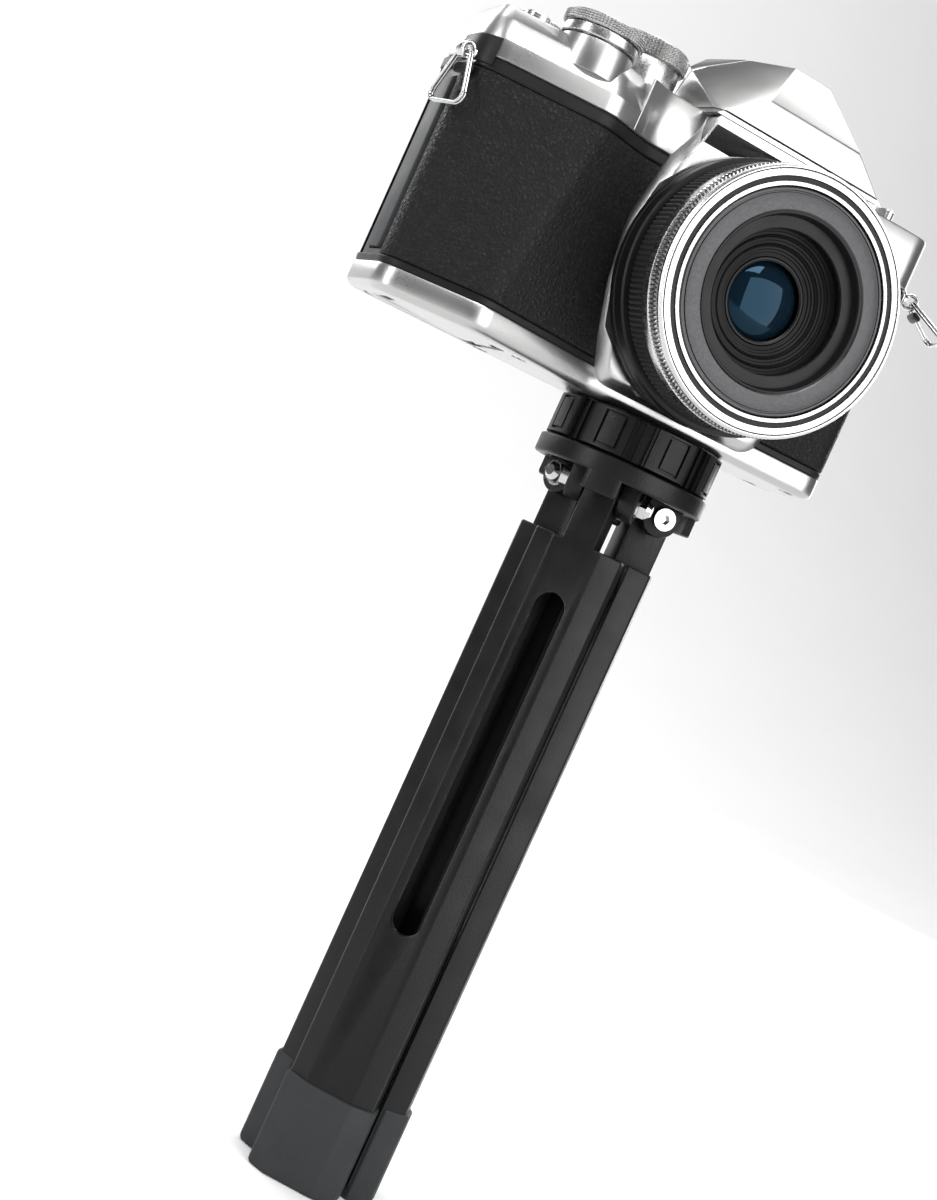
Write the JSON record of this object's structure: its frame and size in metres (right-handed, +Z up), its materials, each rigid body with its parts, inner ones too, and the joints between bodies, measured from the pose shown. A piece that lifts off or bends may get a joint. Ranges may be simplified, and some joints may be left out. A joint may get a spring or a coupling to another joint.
{
  "type": "mirrorless camera on mini tripod",
  "caption": "Mirrorless camera with a pancake zoom lens, screwed to a folding mini tripod with a lock wheel and closed legs.",
  "frame": {"origin": "on the tripod axis, at the plane of the feet of the closed legs", "axes": "+Z up along the tripod axis; the camera looks along -Y; +X towards the side of the camera away from the grip"},
  "size_m": [0.1348, 0.0646, 0.2674],
  "materials": {
    "tripod_black": "black satin powder coat",
    "foot_rubber": "matt charcoal rubber",
    "chrome_steel": "bright plated steel",
    "silver_body": "satin silver paint",
    "silver_dials": "satin machined aluminium",
    "black_body": "matt black",
    "black_buttons": "semi-matt black",
    "leatherette": "black pebbled leatherette",
    "soft_rubber": "matt grey-black rubber",
    "screen_glass": "glossy dark window",
    "flash_glass": "ribbed clear diffuser",
    "lens_glass": "coated glass with a blue-green sheen",
    "lens_black": "black anodised",
    "lens_silver": "bright satin aluminium",
    "inner_parts": "plain dark plastic",
    "circuit_board": "green solder mask"
  },
  "bodies": {
    "tripod_head": {"crown": "tripod_black", "camera_screw": "chrome_steel", "hinge_bolts": "chrome_steel"},
    "leg_a": {"leg_a": "tripod_black", "foot_a": "foot_rubber"},
    "leg_b": {"leg_b": "tripod_black", "foot_b": "foot_rubber"},
    "leg_c": {"leg_c": "tripod_black", "foot_c": "foot_rubber"},
    "lock_wheel": {"lock_wheel": "tripod_black"},
    "camera": {"body_shell": "black_body", "top_cover": "silver_body", "bottom_plate": "silver_body", "rear_cover": "black_body", "grip_leather": "leatherette", "side_leather": "leatherette", "mount_housing": "silver_body", "mount_ring": "chrome_steel", "tripod_bush": "chrome_steel", "eyecup": "soft_rubber", "evf_window": "screen_glass", "hot_shoe": "chrome_steel", "strap_lugs": "chrome_steel", "battery": "inner_parts", "memory_card": "inner_parts", "image_sensor": "circuit_board", "shutter_unit": "inner_parts", "main_board": "circuit_board", "lens_barrel": "lens_black", "front_bezel": "lens_silver", "rear_lens": "lens_glass"},
    "flash_unit": {"flash_unit": "silver_body", "flash_window": "flash_glass"},
    "inner_barrel": {"inner_barrel": "lens_silver", "lens_baffle": "lens_black", "front_lens": "lens_glass"},
    "strap_ring_grip_side": {"strap_ring_grip_side": "chrome_steel", "ring_cover_grip_side": "black_body"},
    "strap_ring_far_side": {"strap_ring_far_side": "chrome_steel", "ring_cover_far_side": "black_body"},
    "screen_arm": {"screen_arm": "black_body"},
    "screen": {"screen_panel": "black_body", "screen_glass": "screen_glass"},
    "zoom_ring": {"zoom_ring": "lens_black"},
    "focus_ring": {"focus_ring": "lens_silver"},
    "mode_dial": {"mode_dial": "silver_dials"},
    "front_dial": {"front_dial": "silver_dials"},
    "shutter_button": {"shutter_button": "silver_dials"},
    "rear_dial": {"rear_dial": "silver_dials"},
    "power_lever": {"power_lever": "silver_dials"},
    "record_button": {"record_button": "silver_dials"},
    "lens_release_button": {"lens_release_button": "silver_body"},
    "ok_button": {"ok_button": "black_buttons"},
    "arrow_pad": {"arrow_pad": "black_buttons"},
    "menu_button": {"menu_button": "black_buttons"},
    "info_button": {"info_button": "black_buttons"},
    "play_button": {"play_button": "black_buttons"},
    "delete_button": {"delete_button": "black_buttons"},
    "port_cover": {"port_cover": "soft_rubber"},
    "battery_door": {"battery_door": "silver_body"}
  },
  "joints": [
    {"name": "camera_turn", "type": "hinge", "parent": "tripod_head", "child": "camera", "pos_m": [0, 0, 0.184], "axis": [0, 0, 1], "continuous": true},
    {"name": "lock_wheel_turn", "type": "hinge", "parent": "tripod_head", "child": "lock_wheel", "pos_m": [0, 0, 0.179], "axis": [0, 0, 1], "continuous": true},
    {"name": "leg_a_fold", "type": "hinge", "parent": "tripod_head", "child": "leg_a", "pos_m": [0.00996, -0.00087, 0.1665], "axis": [-0.0872, -0.9962, 0], "range_deg": [0, 40]},
    {"name": "leg_b_fold", "type": "hinge", "parent": "tripod_head", "child": "leg_b", "pos_m": [-0.00423, 0.00906, 0.1665], "axis": [0.9063, 0.4226, 0], "range_deg": [0, 40]},
    {"name": "leg_c_fold", "type": "hinge", "parent": "tripod_head", "child": "leg_c", "pos_m": [-0.00574, -0.00819, 0.1665], "axis": [-0.8192, 0.5736, 0], "range_deg": [0, 40]},
    {"name": "front_dial_turn", "type": "hinge", "parent": "camera", "child": "front_dial", "pos_m": [-0.0493, -0.008, 0.251], "axis": [0, 0, 1], "continuous": true},
    {"name": "mode_dial_turn", "type": "hinge", "parent": "camera", "child": "mode_dial", "pos_m": [-0.033, 0.006, 0.254], "axis": [0, 0, 1], "continuous": true},
    {"name": "rear_dial_turn", "type": "hinge", "parent": "camera", "child": "rear_dial", "pos_m": [-0.0576, 0.0078, 0.25], "axis": [0, 0, 1], "continuous": true},
    {"name": "power_lever_turn", "type": "hinge", "parent": "camera", "child": "power_lever", "pos_m": [0.03, 0.003, 0.25], "axis": [0, 0, 1], "range_deg": [-50, 0]},
    {"name": "shutter_press", "type": "slide", "parent": "camera", "child": "shutter_button", "axis": [0, 0, -1], "range_m": [0, 0.0008], "stiffness_N_per_m": 800},
    {"name": "record_press", "type": "slide", "parent": "camera", "child": "record_button", "axis": [0, 0, -1], "range_m": [0, 0.0006], "stiffness_N_per_m": 800},
    {"name": "lens_release_press", "type": "slide", "parent": "camera", "child": "lens_release_button", "axis": [0, 1, 0], "range_m": [0, 0.0015], "stiffness_N_per_m": 800},
    {"name": "ok_press", "type": "slide", "parent": "camera", "child": "ok_button", "axis": [0, -1, 0], "range_m": [0, 0.0006], "stiffness_N_per_m": 800},
    {"name": "menu_press", "type": "slide", "parent": "camera", "child": "menu_button", "axis": [0, -1, 0], "range_m": [0, 0.0006], "stiffness_N_per_m": 800},
    {"name": "info_press", "type": "slide", "parent": "camera", "child": "info_button", "axis": [0, -1, 0], "range_m": [0, 0.0006], "stiffness_N_per_m": 800},
    {"name": "play_press", "type": "slide", "parent": "camera", "child": "play_button", "axis": [0, -1, 0], "range_m": [0, 0.0006], "stiffness_N_per_m": 800},
    {"name": "delete_press", "type": "slide", "parent": "camera", "child": "delete_button", "axis": [0, -1, 0], "range_m": [0, 0.0006], "stiffness_N_per_m": 800},
    {"name": "arrow_pad_press", "type": "slide", "parent": "camera", "child": "arrow_pad", "axis": [0, -1, 0], "range_m": [0, 0.0005], "stiffness_N_per_m": 800},
    {"name": "flash_lift", "type": "hinge", "parent": "camera", "child": "flash_unit", "pos_m": [0, 0.0061, 0.2672], "axis": [-1, 0, 0], "range_deg": [0, 50]},
    {"name": "screen_arm_tilt", "type": "hinge", "parent": "camera", "child": "screen_arm", "pos_m": [0, 0.0161, 0.1906], "axis": [-1, 0, 0], "range_deg": [0, 50]},
    {"name": "screen_tilt", "type": "hinge", "parent": "screen_arm", "child": "screen", "pos_m": [0, 0.0167, 0.2347], "axis": [1, 0, 0], "range_deg": [0, 100]},
    {"name": "port_cover_open", "type": "hinge", "parent": "camera", "child": "port_cover", "pos_m": [-0.073, 0.0071, 0.212], "axis": [0, 0, -1], "range_deg": [0, 90]},
    {"name": "battery_door_open", "type": "hinge", "parent": "camera", "child": "battery_door", "pos_m": [-0.0416, 0, 0.18475], "axis": [0, -1, 0], "range_deg": [0, 95]},
    {"name": "zoom_ring_turn", "type": "hinge", "parent": "camera", "child": "zoom_ring", "pos_m": [0, -0.025, 0.2155], "axis": [0, -1, 0], "range_deg": [-15, 15], "stiffness_Nm_per_rad": 0.02},
    {"name": "focus_ring_turn", "type": "hinge", "parent": "camera", "child": "focus_ring", "pos_m": [0, -0.031, 0.2155], "axis": [0, -1, 0], "continuous": true},
    {"name": "barrel_extend", "type": "slide", "parent": "camera", "child": "inner_barrel", "axis": [0, -1, 0], "range_m": [0, 0.016]},
    {"name": "grip_side_ring_swing", "type": "hinge", "parent": "camera", "child": "strap_ring_grip_side", "pos_m": [-0.0745, -0.00694, 0.2355], "axis": [-0.2756, 0.9613, 0], "range_deg": [0, 70]},
    {"name": "far_side_ring_swing", "type": "hinge", "parent": "camera", "child": "strap_ring_far_side", "pos_m": [0.04584, -0.00542, 0.2354], "axis": [-0.342, -0.9397, 0], "range_deg": [-45, 15]}
  ]
}
